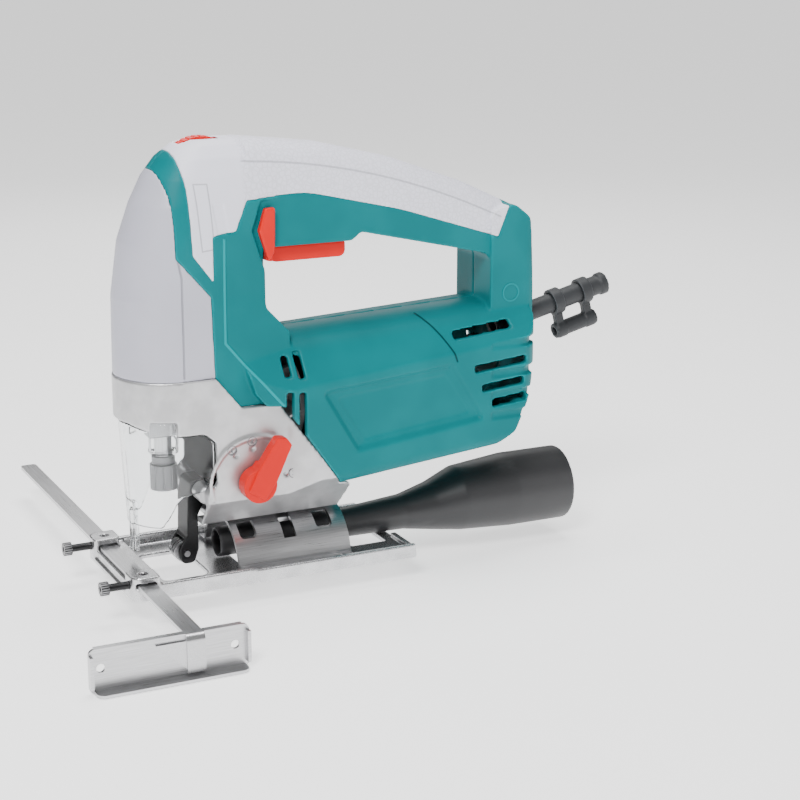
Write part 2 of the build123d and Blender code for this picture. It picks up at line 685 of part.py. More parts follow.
def drive_gear():
    x_low, x_high = GEAR_X
    gear = gear_x(x_low, x_high, GEAR_TEETH, GEAR_MODULE, YOKE_Z, phase_deg=-90)
    hub = rod_x(x_low - 3.2, x_high + 1.2, 8.5, z=YOKE_Z)
    gear = gear + hub - rod_x(x_low - 1.5, x_high + 3, AXLE_R + 0.05, z=YOKE_Z)
    for angle in (45, 135, 225, 315):
        y = 14.0 * math.cos(math.radians(angle))
        z = YOKE_Z + 14.0 * math.sin(math.radians(angle))
        gear = gear - rod_x(x_low - 1, x_high + 1, 2.6, y, z)
    return gear


def counterweight():
    """Half-disc on the gear's front face, opposite the crank pin."""
    x_high = GEAR_X[0]
    weight = rod_x(x_high - 3.2, x_high, 18.5, z=YOKE_Z) & block(0, 60, -30, 0, 60, 160)
    return weight - rod_x(20, 40, 8.5, z=YOKE_Z)


def crank_pin():
    return rod_x(20.6, GEAR_X[0], 3.4, STROKE / 2, YOKE_Z) - rod_x(25, 40, 8.5, z=YOKE_Z)


def yoke():
    """Scotch yoke clamped round the plunger; the crank pin's slot runs across it."""
    body = block(-6.5, 20.0, -17.0, 17.0, YOKE_Z - 6.4, YOKE_Z + 6.4)
    body = body - block(9.5, 30, -14.2, 14.2, YOKE_Z - 3.9, YOKE_Z + 3.9)
    body = body - block(-10, 6.0, -30, -8.0, 90, 130) - block(-10, 6.0, 8.0, 30, 90, 130)
    return body - rod_z(90, 130, PLUNGER_R)


def plunger():
    return rod_z(50.0, 156.0, PLUNGER_R) - block(-4.2, 4.2, -0.8, 0.8, 40, 57)


def clamp_core():
    core = ring_z(44.6, 58.0, 5.6, PLUNGER_R) + ring_z(58.0, 62.0, 5.9, PLUNGER_R)
    return core - block(-4.2, 4.2, -0.8, 0.8, 40, 57)


def clamp_collar():
    collar = ring_z(44.6, 57.6, 6.9, 5.66)
    lever = block(-3.0, 3.0, 6.2, 9.4, 46.5, 55.5)
    for i in range(10):
        angle = math.radians(36 * i)
        collar = collar - rod_z(40, 60, 0.5, 7.1 * math.cos(angle), 7.1 * math.sin(angle))
    return collar + (lever - rod_z(40, 60, 6.5))


def clamp_spring():
    return Pos(0, 0, 62.5) * coil_spring(5.3, 0.4, 2.8, 2)


def fork():
    """Pendulum fork: a hanging arm with two cheeks round the roller, and a tail under the selector."""
    roller_x, roller_z = ROLLER_CENTRE
    pivot_x, pivot_z = FORK_PIVOT
    arm = side_plate([(11.5, 49, 3), (19.5, 49, 2), (20.0, 40, 2), (15.0, 30, 4), (15.0, 12, 4),
                      (12.5, 4.5, 3), (roller_x - 3, 4.5, 3), (roller_x - 3.4, 13, 3), (9.0, 19, 3),
                      (9.6, 38, 4)], -7.8, 7.8)
    tail = block(15, 47, -4, 4, 41.6, 45.8) & block(10, 60, -5, 5, 30, 60)
    roller_space = rod_y(-5.3, 5.3, 6.4, roller_x, roller_z) + block(0, roller_x, -5.3, 5.3, 3.0, 17.0)
    body = arm + tail - roller_space
    body = body - rod_y(-20, 20, 2.06, pivot_x, pivot_z)
    return body - rod_y(-20, 20, ROLLER_PIN_R, roller_x, roller_z)


def guide_roller():
    """Grooved blade-support roller."""
    x, z = ROLLER_CENTRE
    roller = rod_y(-5.0, 5.0, ROLLER_R, x, z)
    for y in (-2.6, 2.6):
        roller = roller - ring_y(y - 0.5, y + 0.5, ROLLER_R + 1, ROLLER_R - 0.7, x, z)
    roller = roller - ring_y(-0.7, 0.7, ROLLER_R + 1, ROLLER_R - 2.0, x, z)
    return roller - rod_y(-6, 6, ROLLER_PIN_R + 0.05, x, z)


def selector_lever():
    """Pendulum selector: a round boss with a tapered pointer."""
    boss = rod_y(-36.6, -GEARCASE_HALF - 1.0, 8.8, DIAL_X, DIAL_Z)
    angle = math.radians(SELECTOR_REST)
    along, across = (math.cos(angle), math.sin(angle)), (-math.sin(angle), math.cos(angle))
    outline = []
    for reach, side in ((-5, -5.0), (6, -6.2), (25.5, -4.4), (27.5, 0), (25.5, 4.4), (6, 5.8), (-5, 5.0)):
        x = DIAL_X + along[0] * reach + across[0] * side
        z = DIAL_Z + along[1] * reach + across[1] * side
        outline.append((x, z, 1.2))
    pointer = side_plate(outline, -38.0, -GEARCASE_HALF - 1.4)
    flare_room = ring_y(-31.4, -20, 40, 11.5, DIAL_X, DIAL_Z)
    return boss + (pointer - flare_room)


def selector_shaft():
    shaft = rod_y(-GEARCASE_HALF - 1.0, -6.0, SELECTOR_R - 0.04, DIAL_X, DIAL_Z)
    return shaft - block(DIAL_X - 6, DIAL_X + 6, -14, 0, DIAL_Z + 1.2, DIAL_Z + 6)


# ---- controls -----------------------------------------------------------------------------------


def trigger():
    """L-shaped trigger: a bar under the handle and a wing on each side of its root."""
    pivot_x, pivot_z = TRIGGER_PIVOT
    bar = side_plate([(50.5, 166.0, 1), (50.5, 160.5, 1), (58, 158.0, 2), (94.0, 158.0, 2),
                      (96.0, 160, 1.5), (96.0, 166.0, 1)], -12.8, 12.8)
    arm = side_plate([(49.6, 165, 0), (49.6, 185, 3), (56.0, 187.5, 2), (56.0, 165, 0)], -12.4, 12.4)
    wing = [(49.5, 186.5, 1), (54.8, 187.0, 1), (54.4, 165.2, 0), (51.2, 159.6, 1), (46.2, 175.5, 1)]
    foot = [(50.4, 165.2, 0.5), (50.4, 160.2, 0.5), (54.4, 159.4, 0.5), (54.4, 165.2, 0.5)]
    wings = both_sides(side_plate(wing, TRIGGER_WING_Y + 0.4, 21.4))
    feet = both_sides(side_plate(foot, 12.0, 18.5))
    return bar + arm + wings + feet - rod_y(-20, 20, 1.56, pivot_x, pivot_z)


def trigger_pin():
    return rod_y(-13.2, 13.2, 1.5, *TRIGGER_PIVOT)


def trigger_spring():
    return Pos(72, 0, 166.4) * coil_spring(2.6, 0.35, 10.6, 5)


def switch_body():
    body = block(62, 104, -9, 9, 177.5, 195)
    return body - block(81.7, 88.3, -3.3, 3.3, 170, 187)


def switch_button():
    return block(82, 88, -3, 3, 166.4, 181)


def lock_button():
    """Lock-on button in the right-hand side of the handle."""
    return rod_y(12.2, 20.2, 4.8, *LOCK_AT) + rod_y(12.2, 13.2, 6.0, *LOCK_AT)


def lock_button_bore():
    return rod_y(10.0, 24.0, 4.86, *LOCK_AT)


def speed_dial():
    """Knurled thumb wheel let into the top of the nose."""
    x, z = SPEED_DIAL
    wheel = rod_y(-3.6, 3.6, SPEED_DIAL_R, x, z)
    for i in range(40):
        angle = math.radians(9 * i)
        wheel = wheel - rod_y(-5, 5, 0.5, x + (SPEED_DIAL_R + 0.1) * math.cos(angle),
                              z + (SPEED_DIAL_R + 0.1) * math.sin(angle))
    return wheel - rod_y(-5, 5, 2.06, x, z)


def speed_dial_pin():
    return rod_y(-7.0, 7.0, 2.0, *SPEED_DIAL)


def speed_board():
    """Speed-control board with its two tall components."""
    board = block(8, 40, 7.0, 8.6, 180, 206)
    return board + block(12, 22, 8.6, 13.0, 183, 193) + rod_y(8.6, 15.0, 4.0, 32, 190)


def cord_clamp():
    return block(176, 184, -11, 11, 100, 104) + block(176, 184, -11, -7, 96, 104) + block(176, 184, 7, 11, 96, 104)


def housing_screws():
    """Screws of the clamshell, driven from the right-hand side."""
    screws = []
    for x, z in screw_points():
        stem = rod_y(-9.0, SCREW_HEAD_Y, 1.65, x, z)
        screws.append(stem + rod_y(SCREW_HEAD_Y, SCREW_HEAD_Y + 2.2, 3.6, x, z))
    return Compound(screws)


# ---- base ---------------------------------------------------------------------------------------


def base_plate():
    """Die-cast base: flat sole, side walls, two front bosses with windows for the guide bar."""
    lip_z = GUIDE_Z[0] - 0.1
    plate = plan_plate([(BASE_FRONT_X, -BASE_HALF, 7), (BASE_REAR_X, -BASE_HALF, 2),
                        (BASE_REAR_X, BASE_HALF, 2), (BASE_FRONT_X, BASE_HALF, 7)], 0, BASE_PLATE_T)
    lip = plan_plate([(BASE_FRONT_X + 1.5, -BASE_HALF, 6), (-12, -BASE_HALF, 0), (-12, BASE_HALF, 0),
                      (BASE_FRONT_X + 1.5, BASE_HALF, 6)], 0, lip_z)
    base = plate + lip
    wall_in = BASE_HALF - BASE_WALL_T
    wall_outline = [(-19, 0, 0), (BASE_REAR_X - 1, 0, 0), (BASE_REAR_X - 1, BASE_REAR_WALL_H, 0),
                    (36, BASE_REAR_WALL_H, 3), (31, BASE_WALL_H, 3), (-12, BASE_WALL_H, 0), (-19, BASE_WALL_H, 0)]
    base = base + both_sides(side_plate(wall_outline, wall_in, BASE_HALF))
    base = base + block(BASE_REAR_X - 3, BASE_REAR_X, -BASE_HALF + 2, BASE_HALF - 2, 0, 5.5)
    boss = plan_plate([(BASE_FRONT_X, 25, 2), (-17.5, 25, 1), (-16.2, 28, 1), (-16.2, BASE_HALF, 1),
                       (BASE_FRONT_X, BASE_HALF, 6)], 0, 12.4)
    base = base + both_sides(boss)
    base = base - block(GUIDE_X[0] - 0.6, GUIDE_X[1] + 0.6, -60, 60, lip_z, GUIDE_Z[1] + 0.7)
    window = plan_plate([(-9.5, -21, 5), (16, -21, 5), (16, 21, 5), (-9.5, 21, 5)], -5, 20)
    base = base - window
    for y in (-32, 32):
        base = base - rod_x(-40, -26, GUIDE_SCREW_R + 0.06, y, GUIDE_AXIS_Z)
        base = base - rod_z(9, 14, 2.0, -23.1, y)
    for x in (44, 78):
        base = base - plan_plate([(x - 9, -16, 5), (x + 9, -16, 5), (x + 9, 16, 5), (x - 9, 16, 5)], -1, 5)
    base = base - block(98, 118, -14, 14, -1, 4) - block(118, 130, -12, 12, BASE_PLATE_T, 10)
    return base


def bevel_shroud():
    """Half-round steel bracket that lets the base tilt under the gear housing."""
    x_low, x_high = SHROUD_X
    outer = rod_x(x_low, x_high, SHROUD_R) - rod_x(x_low - 1, x_high + 1, SHROUD_R - SHROUD_T)
    arch = outer & block(x_low, x_high, -40, 40, 5.0, 40)
    legs = both_sides(block(x_low, x_high, SHROUD_R - SHROUD_T - 0.6, SHROUD_R - 0.1, BASE_PLATE_T, 6.0))
    feet = both_sides(block(x_low, x_high, SHROUD_R - 0.5, 34.5, BASE_PLATE_T, BASE_PLATE_T + 1.8))
    shroud = arch + legs + feet
    slot = block(BASE_BOLT_X - 3.4, BASE_BOLT_X + 3.4, -21.5, 21.5, 10, 40)
    shroud = shroud - slot
    for x in (38.0, 80.0):
        notch = side_plate([(x - 4.5, 17.5, 2), (x + 4.5, 17.5, 2), (x + 4.5, 24.0, 0), (x - 4.5, 24.0, 0)],
                           8, 40)
        shroud = shroud - both_sides(notch)
    return shroud


def shroud_rivets():
    rivets = []
    for x in (36, 86):
        for y in (-31, 31):
            top = BASE_PLATE_T + 1.8
            rivets.append(Pos(x, y, top + 0.6) * Cone(2.6, 1.6, 1.2))
    return Compound(rivets)


def clamp_plate():
    """Curved washer plate inside the shroud, under the base bolt."""
    r_out = SHROUD_R - SHROUD_T - 0.3
    arc = ring_x(BASE_BOLT_X - 9, BASE_BOLT_X + 9, r_out, r_out - 1.9)
    arc = arc & block(0, 100, -9.5, 9.5, 15, 40)
    return arc - rod_z(10, 40, 3.1, BASE_BOLT_X, 0)


def base_bolt():
    head = rod_z(19.5, 21.6, 5.0, BASE_BOLT_X, 0)
    stem = rod_z(21.6, 33.0, 3.0, BASE_BOLT_X, 0)
    socket = Pos(BASE_BOLT_X, 0, 18.5) * extrude(RegularPolygon(2.0, 6), amount=2.4)
    return head + stem - socket


def tube_stations():
    """Dust tube sections as (x, centre z, radius)."""
    return [(27.0, 11.1, 7.8), (100.0, 11.1, 8.0), (133.0, 12.4, 9.6), (150.0, 13.4, 13.3),
            (166.0, 15.6, 17.8), (197.0, 16.3, 20.4), (231.0, 16.2, 20.4)]


def tube_loft(inset):
    faces = []
    for x, z, r in tube_stations():
        faces.append(Plane(origin=(x, 0, z), x_dir=(0, 1, 0), z_dir=(1, 0, 0)) * Circle(r - inset))
    return loft(faces, ruled=True)


def dust_tube():
    """Tapered dust-extraction tube through the base bracket."""
    tube = tube_loft(0) - tube_loft(1.6)
    first, last = tube_stations()[0], tube_stations()[-1]
    tube = tube - rod_x(first[0] - 2, first[0] + 0.4, first[2] - 1.6, z=first[1])
    return tube - rod_x(last[0] - OUTLET_LENGTH, last[0] + 1, OUTLET_R, z=last[1])


# ---- parallel guide -----------------------------------------------------------------------------


def guide_bar():
    """Flat bar with its end bent down in front of the fence and a gusset welded to the bend."""
    x_low, x_high = GUIDE_X
    z_low, z_high = GUIDE_Z
    near_y, far_y = GUIDE_Y
    bar = plan_plate([(x_low, near_y + 2, 0), (x_high, near_y + 2, 0), (x_high, far_y, 2),
                      (x_low, far_y, 2)], z_low, z_high)
    bend = cross_bar([(near_y + 4, z_high, 0), (near_y, z_high, 3.5), (near_y, FLANGE_LOW_Z, 0),
                      (FENCE_Y, FLANGE_LOW_Z, 0), (FENCE_Y, z_low, 0), (near_y + 4, z_low, 0)],
                     x_low, x_high)
    gusset = side_plate([(x_low - 14.5, z_low - 0.8, 0), (x_low + 1, z_low - 0.8, 0),
                         (x_low + 1, FLANGE_LOW_Z + 1, 0)], FENCE_Y - 1.4, FENCE_Y)
    return bar + bend + gusset


def guide_fence():
    """Pressed steel fence: a plate with a notch for the bar, a folded top, end rims and a lip."""
    x_low, x_high = FENCE_X
    z_low, z_high = FENCE_Z
    thick = 1.6
    plate = side_plate([(x_low, z_low, 3), (x_high, z_low, 3), (x_high, z_high, 3), (x_low, z_high, 3)],
                       FENCE_Y, FENCE_Y + thick)
    top = block(x_low + 3, x_high - 3, FENCE_Y, FENCE_Y + 3.6, z_high - thick, z_high)
    lip = plan_plate([(x_low + 2, FENCE_LIP_Y, 4), (x_high - 2, FENCE_LIP_Y, 4), (x_high - 2, FENCE_Y, 0),
                      (x_low + 2, FENCE_Y, 0)], z_low, z_low + thick)
    fence = plate + top + lip
    for x in (x_low, x_high - thick):
        fence = fence + block(x, x + thick, FENCE_Y - 2.6, FENCE_Y, z_low + 3, z_high - 3)
    for x in (x_low + 5.5, x_high - 7.0):
        fence = fence - rod_y(FENCE_Y - 4, FENCE_Y + 5, 2.1, x, z_high - 9.5)
    return fence - block(*GUIDE_X, FENCE_Y - 1, FENCE_Y + 5, GUIDE_Z[0], z_high + 1)


def guide_screw(y):
    """Knurled socket screw that clamps the guide bar."""
    stem = rod_x(-41.0, GUIDE_X[0] - 0.35, GUIDE_SCREW_R, y, GUIDE_AXIS_Z)
    head = rod_x(-45.0, -41.0, 3.5, y, GUIDE_AXIS_Z)
    for i in range(18):
        angle = math.radians(20 * i)
        head = head - rod_x(-46, -41.6, 0.3, y + 3.6 * math.cos(angle), GUIDE_AXIS_Z + 3.6 * math.sin(angle))
    plane = Plane(origin=(-46, y, GUIDE_AXIS_Z), x_dir=(0, 1, 0), z_dir=(1, 0, 0))
    socket = extrude(plane * RegularPolygon(1.75, 6), amount=3.2)
    return stem + head - socket


# ---- build --------------------------------------------------------------------------------------


def build_housings():
    """Pieces cut from the shared outer form."""
    outer = body_form(0) - opening_block()
    cavity = body_form(WALL + SKIN) - opening_block(grow=WALL)
    gear_room = rod_x(27, 42, GEAR_TEETH * GEAR_MODULE / 2 + 1.6, z=YOKE_Z)
    bearing_room = rod_x(28, 56, BEARING_OUT_R + 4, z=MOTOR_AXIS_Z)
    cavity = cavity + gear_room + bearing_room
    shell = body_shell(outer, cavity)
    right = split_half(shell, 1) - lock_button_bore() - screw_bores()
    return {
        "left_housing": split_half(shell, -1) + air_divider(),
        "right_housing": right,
        "handle_grip": grip_overlay(outer) - lock_button_bore() - screw_bores(),
        "nose_cover": nose_cover(outer),
    }


PIECES = {
    "gear_housing": gear_housing,
    "gear_plate": gear_plate,
    "clear_guard": clear_guard,
    "cord_sleeve": cord_sleeve,
    "key_holder": key_holder,
    "cord_clamp": cord_clamp,
    "housing_screws": housing_screws,
    "plunger_bushings": plunger_bushings,
    "armature_shaft": armature_shaft,
    "pinion": pinion,
    "armature_core": armature_core,
    "armature_windings": armature_windings,
    "commutator": commutator,
    "cooling_fan": cooling_fan,
    "front_bearing": lambda: ball_bearing(PLATE_X[0] + 1.0, PLATE_X[0] + 8.0, BEARING_OUT_R),
    "rear_bearing": lambda: ball_bearing(161.0, 167.0, 9.5),
    "stator_core": stator_core,
    "field_coils": field_coils,
    "brush_holders": brush_holders,
    "carbon_brushes": carbon_brushes,
    "brush_springs": brush_springs,
    "drive_gear": drive_gear,
    "gear_axle": lambda: rod_x(GEAR_X[0] - 1.0, PLATE_X[1], AXLE_R, z=YOKE_Z),
    "counterweight": counterweight,
    "crank_pin": crank_pin,
    "yoke": yoke,
    "plunger": plunger,
    "clamp_core": clamp_core,
    "clamp_collar": clamp_collar,
    "clamp_spring": clamp_spring,
    "pendulum_fork": fork,
    "fork_pin": lambda: rod_y(-11.5, 11.5, 2.0, *FORK_PIVOT),
    "guide_roller": guide_roller,
    "roller_pin": lambda: rod_y(-8.4, 8.4, ROLLER_PIN_R, *ROLLER_CENTRE),
    "selector_lever": selector_lever,
    "selector_shaft": selector_shaft,
    "trigger": trigger,
    "trigger_pin": trigger_pin,
    "trigger_spring": trigger_spring,
    "switch_body": switch_body,
    "switch_button": switch_button,
    "lock_button": lock_button,
    "speed_dial": speed_dial,
    "speed_dial_pin": speed_dial_pin,
    "speed_board": speed_board,
    "base_plate": base_plate,
    "bevel_shroud": bevel_shroud,
    "shroud_rivets": shroud_rivets,
    "clamp_plate": clamp_plate,
    "base_bolt": base_bolt,
    "dust_tube": dust_tube,
    "guide_bar": guide_bar,
    "guide_fence": guide_fence,
    "guide_screw_near": lambda: guide_screw(-32.0),
    "guide_screw_far": lambda: guide_screw(32.0),
}

for name, shape in build_housings().items():
    export_step(shape, f"parts/{name}.step")
for name, make in PIECES.items():
    export_step(make(), f"parts/{name}.step")
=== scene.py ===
import json
import math

import bpy
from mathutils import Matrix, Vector


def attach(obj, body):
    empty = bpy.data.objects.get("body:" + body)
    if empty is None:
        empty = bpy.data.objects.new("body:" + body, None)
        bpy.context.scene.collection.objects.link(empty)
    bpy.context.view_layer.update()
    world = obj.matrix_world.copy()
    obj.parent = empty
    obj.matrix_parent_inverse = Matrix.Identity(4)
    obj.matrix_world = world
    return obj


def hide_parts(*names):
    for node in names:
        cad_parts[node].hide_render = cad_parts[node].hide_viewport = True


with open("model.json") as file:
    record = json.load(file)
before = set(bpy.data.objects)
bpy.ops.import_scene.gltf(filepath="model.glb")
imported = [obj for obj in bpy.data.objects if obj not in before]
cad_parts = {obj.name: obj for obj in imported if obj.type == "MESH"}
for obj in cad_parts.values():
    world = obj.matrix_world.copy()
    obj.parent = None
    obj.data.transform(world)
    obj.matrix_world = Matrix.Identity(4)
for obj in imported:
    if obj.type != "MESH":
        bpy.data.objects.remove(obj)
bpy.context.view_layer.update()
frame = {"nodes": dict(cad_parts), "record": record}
mm = 0.001


class Wire:
    # a socket that adds Math nodes when it is used in an expression
    def __init__(self, finish, socket):
        self.finish = finish
        self.socket = socket

    def math(self, operation, *values):
        return self.finish.node("ShaderNodeMath", {"operation": operation}, values)

    def __add__(self, other):
        return self.math("ADD", self, other)

    def __radd__(self, other):
        return self.math("ADD", other, self)

    def __sub__(self, other):
        return self.math("SUBTRACT", self, other)

    def __rsub__(self, other):
        return self.math("SUBTRACT", other, self)

    def __mul__(self, other):
        return self.math("MULTIPLY", self, other)

    def __rmul__(self, other):
        return self.math("MULTIPLY", other, self)

    def __abs__(self):
        return self.math("ABSOLUTE", self)

    def least(self, other):
        return self.math("MINIMUM", self, other)

    def most(self, other):
        return self.math("MAXIMUM", self, other)

    def root(self):
        return self.math("SQRT", self)

    def sine(self):
        return self.math("SINE", self)

    def ramp(self, low, high):
        # 0 below low, 1 above high, smooth between
        return self.finish.node("ShaderNodeMapRange", {"interpolation_type": "SMOOTHSTEP"},
                                {"Value": self, "From Min": low, "From Max": high})


class Finish:
    def __init__(self, name, colour, roughness, metallic=0.0, **fixed):
        self.material = bpy.data.materials.new(name)
        self.material.use_nodes = True
        self.tree = self.material.node_tree
        self.shader = self.tree.nodes["Principled BSDF"]
        self.shader.inputs["Base Color"].default_value = (*colour, 1)
        self.shader.inputs["Roughness"].default_value = roughness
        self.shader.inputs["Metallic"].default_value = metallic
        for socket, value in fixed.items():
            self.shader.inputs[socket.replace("_", " ")].default_value = value
        self.material.diffuse_color = (*colour, 1)

    def node(self, kind, settings=None, values=(), output=0):
        made = self.tree.nodes.new(kind)
        for key, value in (settings or {}).items():
            setattr(made, key, value)
        pairs = values.items() if isinstance(values, dict) else enumerate(values)
        for key, value in pairs:
            if isinstance(value, Wire):
                self.tree.links.new(value.socket, made.inputs[key])
            else:
                made.inputs[key].default_value = value
        return Wire(self, made.outputs[output])

    def place(self):
        # object coordinates in millimetres
        spot = self.node("ShaderNodeTexCoord", output="Object")
        return self.node("ShaderNodeVectorMath", {"operation": "SCALE"}, {"Vector": spot, "Scale": 1000.0})

    def axes(self, spot):
        split = self.node("ShaderNodeSeparateXYZ", values=[spot])
        outputs = split.socket.node.outputs
        return Wire(self, outputs[0]), Wire(self, outputs[1]), Wire(self, outputs[2])

    def stretch(self, spot, factors):
        return self.node("ShaderNodeVectorMath", {"operation": "MULTIPLY"}, [spot, factors])

    def noise(self, spot, scale, detail=3.0, roughness=0.5):
        return self.node("ShaderNodeTexNoise", values={"Vector": spot, "Scale": scale, "Detail": detail,
                                                       "Roughness": roughness})

    def cells(self, spot, scale, feature="DISTANCE_TO_EDGE"):
        return self.node("ShaderNodeTexVoronoi", {"feature": feature}, {"Vector": spot, "Scale": scale},
                         output="Distance")

    # pointiness mask of convex edges, used to lighten them: a painted highlight
    def edges(self, low=0.515, high=0.56):
        return self.node("ShaderNodeNewGeometry", output="Pointiness").ramp(low, high)

    def blend(self, mask, first, second):
        return self.node("ShaderNodeMix", {"data_type": "RGBA"}, {0: mask, 6: first, 7: second}, output=2)

    def scored(self, x, z, lines, width):
        # 1 along straight lines of the side view, each from (x, z) to (x, z)
        mask = None
        for (x0, z0), (x1, z1) in lines:
            run, rise = x1 - x0, z1 - z0
            share = ((x - x0) * run + (z - z0) * rise) * (1 / (run * run + rise * rise))
            share = share.least(1.0).most(0.0)
            across, up = x - x0 - share * run, z - z0 - share * rise
            near = 1 - (across * across + up * up).root().ramp(width * 0.4, width)
            mask = near if mask is None else mask.most(near)
        return mask

    def feed(self, socket, wire):
        self.tree.links.new(wire.socket, self.shader.inputs[socket])

    def relief(self, height, depth, strength=1.0):
        bump = self.node("ShaderNodeBump", values={"Height": height, "Distance": depth * mm,
                                                   "Strength": strength})
        self.feed("Normal", bump)


def tone(colour, factor):
    return (*[min(1.0, c * factor) for c in colour], 1)


def mouldedPlastic(name, colour, roughness, grain=0.05, edgeHighlightLift=1.5, soil=0.82, **fixed):
    # spark-eroded mould grain, slight flow shading, and ridges made paler as a painted highlight
    finish = Finish(name, colour, roughness, **fixed)
    spot = finish.place()
    flow = finish.noise(spot, 0.03, 2.0).ramp(0.35, 0.7)
    body = finish.blend(flow, tone(colour, soil), tone(colour, 1.0))
    # convex edges lightened: painted highlight
    finish.feed("Base Color", finish.blend(finish.edges() * 0.5, body, tone(colour, edgeHighlightLift)))
    fine = finish.noise(spot, 2.4, 2.0)
    finish.feed("Roughness", fine * 0.10 + (roughness - 0.05))
    finish.relief(fine, grain)
    return finish.material


def seamedPlastic(name, colour, roughness):
    # body plastic with the moulded parting curve ahead of the rear vents
    finish = Finish(name, colour, roughness, Specular_IOR_Level=0.12)
    spot = finish.place()
    x, y, z = finish.axes(spot)
    flow = finish.noise(spot, 0.03, 2.0).ramp(0.35, 0.7)
    body = finish.blend(flow, tone(colour, 0.86), tone(colour, 1.0))
    # convex edges lightened: painted highlight
    body = finish.blend(finish.edges() * 0.65, body, tone(colour, 1.6))
    # the parting groove: an arc in side view over the motor body's flanks, darkened as painted shade
    dx = x - seam["centre"][0]
    dz = z - seam["centre"][1]
    away = abs((dx * dx + dz * dz).root() - seam["radius"])
    flank = abs(y).ramp(seam["side"], seam["side"] + 1.0) * z.ramp(seam["low"], seam["low"] + 1.0)
    flank = flank * x.ramp(seam["front"] - 1.0, seam["front"]) * (1 - z.ramp(seam["high"], seam["high"] + 1.0))
    groove = (1 - away.ramp(0.25, 0.6)) * flank
    # a bright line along the shoulder ridge: painted highlight, with a raised bump
    ridge = finish.scored(x, z, ridgeHighlightLines, 1.1) * abs(y).ramp(18.0, 20.0)
    body = finish.blend(ridge * 0.8, body, tone(colour, 1.9))
    # the groove drawn near black: painted shade in the groove
    finish.feed("Base Color", finish.blend(groove * 0.85, body, tone(colour, 0.18)))
    fine = finish.noise(spot, 2.4, 2.0)
    finish.feed("Roughness", fine * 0.10 + (roughness - 0.05))
    finish.relief(fine * 0.08 - groove + ridge, 0.6, 0.8)
    return finish.material


def creasedPlastic(name, colour, roughness):
    # nose plastic with the sharp fold down each flank, darkened along the fold as painted shade, and paler
    # edges as painted highlight
    finish = Finish(name, colour, roughness)
    spot = finish.place()
    x, y, z = finish.axes(spot)
    flow = finish.noise(spot, 0.03, 2.0).ramp(0.35, 0.7)
    body = finish.blend(flow, tone(colour, 0.94), tone(colour, 1.0))
    crease = finish.scored(x, z, creaseShadeLines, 0.7) * abs(y).ramp(12.0, 14.0)
    # the fold darkened: painted shade
    body = finish.blend(crease * 0.7, body, tone(colour, 0.45))
    finish.feed("Base Color", finish.blend(finish.edges() * 0.5, body, tone(colour, 1.25)))
    fine = finish.noise(spot, 2.4, 2.0)
    finish.feed("Roughness", fine * 0.10 + (roughness - 0.05))
    finish.relief(fine * 0.08 - crease, 0.5, 0.7)
    return finish.material


def gripRubber(name, colour, roughness):
    # soft overlay: honeycomb grain on the sides and top, plain at the front
    finish = Finish(name, colour, roughness)
    spot = finish.place()
    x, y, z = finish.axes(spot)
    run = x - gripGrain["crownX"]
    top = gripGrain["crownZ"] - run * run * (1 / gripGrain["crownBend"])
    down = top - z
    grained = x.ramp(gripGrain["frontX"], gripGrain["frontX"] + 2.0)
    grained = grained * (1 - x.ramp(gripGrain["rearX"], gripGrain["rearX"] + 2.0))
    line = (1 - abs(down - gripGrain["lineDrop"]).ramp(0.25, 0.65)) * grained
    cell = finish.cells(finish.stretch(spot, (gripGrain["cell"],) * 3), 1.0).ramp(0.02, 0.16)
    pitShade = (1 - cell) * grained
    fine = finish.noise(spot, 2.0, 3.0)
    # the grooves between the honeycomb cells are darkened: painted shade
    shade = finish.blend(pitShade * 0.35, tone(colour, 1.0), tone(colour, 0.70))
    frameLines = finish.scored(x, z, recessShadeLines, 0.45) * abs(y).ramp(6.0, 7.0)
    line = line.most(frameLines)
    # the grain's border line and the label recess outline are darkened: painted shade
    shade = finish.blend(line * 0.6, shade, tone(colour, 0.40))
    # convex edges lightened: painted highlight
    finish.feed("Base Color", finish.blend(finish.edges() * 0.4, shade, tone(colour, 1.25)))
    finish.feed("Roughness", fine * 0.12 + (roughness - 0.06))
    finish.relief(fine * 0.12 + cell * 0.6 * grained - line, 0.35, 0.6)
    return finish.material


def castMetal(name, colour, roughness, metallic, depth=0.04):
    # die-cast skin: orange-peel and small pits
    finish = Finish(name, colour, roughness, metallic)
    spot = finish.place()
    coarse = finish.noise(spot, 0.09, 3.0)
    fine = finish.noise(spot, 1.6, 3.0)
    body = finish.blend(coarse.ramp(0.35, 0.7), tone(colour, 0.86), tone(colour, 1.05))
    # convex edges lightened: painted highlight
    finish.feed("Base Color", finish.blend(finish.edges() * 0.7, body, tone(colour, 1.3)))
    finish.feed("Roughness", fine * 0.16 + (roughness - 0.08))
    finish.relief(fine + coarse * 0.4, depth, 0.5)
    return finish.material


def brushedSteel(name, colour, roughness, along):
    # long scratches along one axis
    finish = Finish(name, colour, roughness, 1.0)
    spot = finish.place()
    factors = tuple(0.03 if axis == along else 1.6 for axis in "xyz")
    scratch = finish.noise(finish.stretch(spot, factors), 1.6, 4.0, 0.6)
    cloud = finish.noise(spot, 0.05, 2.0)
    body = finish.blend(scratch.ramp(0.3, 0.75), tone(colour, 0.80), tone(colour, 1.08))
    finish.feed("Base Color", body)
    finish.feed("Roughness", scratch * 0.22 + cloud * 0.12 + (roughness - 0.16))
    finish.relief(scratch, 0.03, 0.5)
    return finish.material


def blackOxide(name, colour, roughness):
    finish = Finish(name, colour, roughness, 0.35, Specular_IOR_Level=0.4)
    spot = finish.place()
    fine = finish.noise(spot, 1.2, 3.0)
    body = finish.blend(fine.ramp(0.3, 0.8), tone(colour, 0.75), tone(colour, 1.3))
    # edges lightened to grey: painted highlight
    finish.feed("Base Color", finish.blend(finish.edges(0.53, 0.6), body, (0.30, 0.30, 0.31, 1)))
    finish.feed("Roughness", fine * 0.2 + (roughness - 0.1))
    finish.relief(fine, 0.05, 0.5)
    return finish.material


